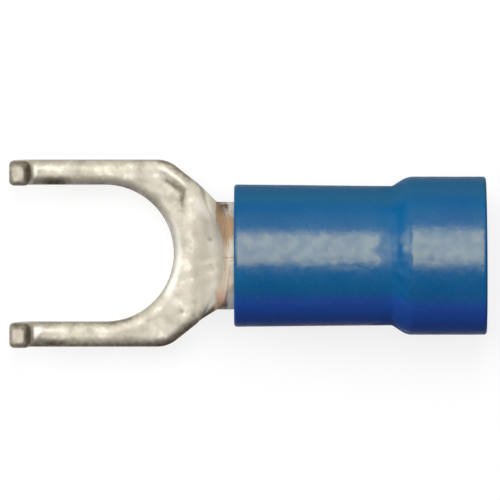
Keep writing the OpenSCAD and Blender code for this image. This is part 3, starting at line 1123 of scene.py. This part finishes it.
def vinyl_material():
    """Semi-gloss opaque blue vinyl with a faintly uneven skin, painted violet shade towards -Y and a painted
    sheen towards +Y.
    """
    g = Graph("blue_vinyl")
    place = g.add("ShaderNodeTexCoord").outputs["Object"]
    cloud, skin = g.noise(place, *VINYL_CLOUD), g.noise(place, *VINYL_SKIN)
    dye = g.mix(g.ramp(cloud, 0.35, 0.65), DYE_DEEP, DYE_LIGHT)
    # Painted sheen towards +Y
    dye = g.mix(g.mark("painted_sheen"), dye, SHEEN_BLUE)
    # Painted violet shade towards -Y
    dye = g.mix(g.math("MULTIPLY", g.mark("violet_shade"), VIOLET_SHARE), dye, VIOLET_SHADE_COLOUR)
    g.set("Base Color", dye)
    matte = g.mark("matte")
    gloss = g.ramp(g.add("ShaderNodeLayerWeight").outputs["Facing"], 0.12, 0.32, 0.72, 0.007)
    g.set("Specular IOR Level", g.math("MULTIPLY", gloss, g.ramp(matte, 0, 1, 1.0, 0.5)))
    g.set("Specular Tint", GLOSS_TINT)
    g.set("Roughness", g.math("ADD", g.ramp(skin, 0.3, 0.7, 0.21, 0.33), g.ramp(matte, 0, 1, 0.0, 0.09)))
    g.bump(skin, strength=0.42, distance=0.00004)
    return g.material


# Floor: colour, roughness, own light
FLOOR_COLOUR = (0.24, 0.24, 0.24, 1)
FLOOR_ROUGHNESS = 0.9
FLOOR_GLOW = 0.79
WHITE = (1, 1, 1, 1)


def floor_material():
    """White floor that keeps the shadow; a little of its own light brings it to plain white."""
    g = Graph("floor_white")
    path = g.add("ShaderNodeLightPath")
    seen = g.math("MAXIMUM", path.outputs["Is Camera Ray"], path.outputs["Is Glossy Ray"])
    seen = g.math("MAXIMUM", seen, path.outputs["Is Transmission Ray"])
    g.set("Base Color", FLOOR_COLOUR)
    g.set("Roughness", FLOOR_ROUGHNESS)
    g.set("Specular IOR Level", 0.0)
    g.set("Emission Color", WHITE)
    g.set("Emission Strength", g.math("MULTIPLY", seen, FLOOR_GLOW))
    return g.material


# Stage, light and camera, with places of lamps and floor in metres

FLOOR_HALF = 3.0
# Surround, along Y from -1 to 1 brought to 0 to 1: place, colour
SURROUND = ((0.30, (0.06, 0.053, 0.058, 1)), (0.80, (0.42, 0.42, 0.40, 1)))
# Softboxes: name, leans from overhead towards +X and +Y in degrees, distance, size, radiance
SOFTBOXES = (("key", 0, 15, 0.30, (0.110, 0.290), 5.7), ("side", -42, 20, 0.30, (0.150, 0.220), 3.6))
# Photograph: width in pixels, pixels a millimetre, place of the stud's centre
PIXELS = 500
PIXELS_PER_MM = 25.51
STUD_PIXEL = (105.0, 253.2)
LENS = 1000.0
CAMERA_TILT = 3.2
CLIP_NEAR = 0.005
CLIP_FAR = 20


def build_floor():
    """Floor under the part's lowest point."""
    h, z = FLOOR_HALF, cad_box[0][2]
    mesh = bpy.data.meshes.new("floor")
    mesh.from_pydata([(-h, -h, z), (h, -h, z), (h, h, z), (-h, h, z)], [], [(0, 1, 2, 3)])
    floor = bpy.data.objects.new("floor", mesh)
    bpy.context.scene.collection.objects.link(floor)
    floor.data.materials.append(floor_material())


def build_world():
    """Soft surround: bright towards +Y, dim towards -Y."""
    world = bpy.data.worlds.new("surround")
    bpy.context.scene.world = world
    world.use_nodes = True
    tree = world.node_tree
    place = tree.nodes.new("ShaderNodeTexCoord")
    split = tree.nodes.new("ShaderNodeSeparateXYZ")
    tree.links.new(place.outputs["Generated"], split.inputs[0])
    ramp = tree.nodes.new("ShaderNodeValToRGB")
    ramp.color_ramp.interpolation = "EASE"
    shift = tree.nodes.new("ShaderNodeMapRange")
    shift.inputs["From Min"].default_value = -1
    shift.inputs["From Max"].default_value = 1
    tree.links.new(split.outputs["Y"], shift.inputs["Value"])
    tree.links.new(shift.outputs["Result"], ramp.inputs["Fac"])
    for stop, (position, colour) in zip(ramp.color_ramp.elements, SURROUND):
        stop.position = position
        stop.color = colour
    tree.links.new(ramp.outputs["Color"], tree.nodes["Background"].inputs["Color"])


def add_softbox(name, angle_x, angle_y, distance, size, radiance):
    """Rectangular light aimed at the part; angles lean it from overhead towards +X and +Y."""
    light = bpy.data.lights.new(name, "AREA")
    light.shape = "RECTANGLE"
    light.size, light.size_y = size
    light.energy = radiance * math.pi * size[0] * size[1]
    lamp = bpy.data.objects.new(name, light)
    bpy.context.scene.collection.objects.link(lamp)
    way = Vector((math.tan(math.radians(angle_x)), math.tan(math.radians(angle_y)), 1)).normalized()
    aim = Vector([(low + high) / 2 for low, high in zip(*cad_box)])
    lamp.location = aim + way * distance
    lamp.rotation_euler = (-way).to_track_quat("-Z", "Y").to_euler()


def build_camera():
    """Long lens almost straight above, with the stud's centre where the photograph has it."""
    camera = bpy.data.cameras.new("camera")
    camera.lens = LENS
    camera.clip_start, camera.clip_end = CLIP_NEAR, CLIP_FAR
    width = PIXELS / PIXELS_PER_MM
    reach = width * camera.lens / camera.sensor_width
    tilt = math.radians(CAMERA_TILT)
    aim = Vector((
        (PIXELS / 2 - STUD_PIXEL[0]) / PIXELS_PER_MM,
        (STUD_PIXEL[1] - PIXELS / 2) / PIXELS_PER_MM,
        SHEET / 2,
    ))
    holder = bpy.data.objects.new("camera", camera)
    holder.location = (aim + reach * Vector((0, math.sin(tilt), math.cos(tilt)))) * MM
    holder.rotation_euler = (-tilt, 0, 0)
    bpy.context.scene.collection.objects.link(holder)
    bpy.context.scene.camera = holder


build_terminal().data.materials.append(tin_material())
build_sleeve().data.materials.append(vinyl_material())
build_floor()
build_world()
for softbox in SOFTBOXES:
    add_softbox(*softbox)
build_camera()
bpy.context.scene.view_settings.view_transform = "Standard"
